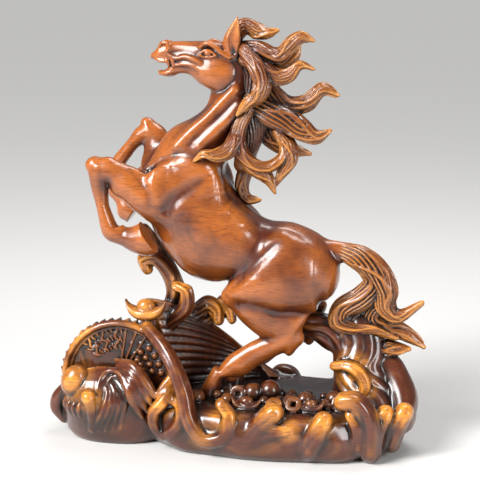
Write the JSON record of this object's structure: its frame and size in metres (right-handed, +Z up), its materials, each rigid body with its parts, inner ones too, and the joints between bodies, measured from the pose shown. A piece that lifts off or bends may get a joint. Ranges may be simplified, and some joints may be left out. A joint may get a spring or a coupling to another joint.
{
  "type": "horse statue",
  "caption": "Rearing horse with a flying mane and tail on a carved base of curling waves with a large reeded coin, one glossy casting with a dark wood look",
  "frame": {"origin": "middle of the flat underside, on the surface that the statue stands on", "axes": "+X from the horse's head towards its tail, +Y away from the viewer of the coin's face, +Z up"},
  "size_m": [0.3642, 0.1608, 0.4094],
  "materials": {
    "lacquered_wood_look": "cast resin stained like dark rosewood, rubbed to gold on the ridges, under a clear gloss lacquer"
  },
  "bodies": {
    "root": {"horse_statue": "lacquered_wood_look"}
  },
  "joints": []
}
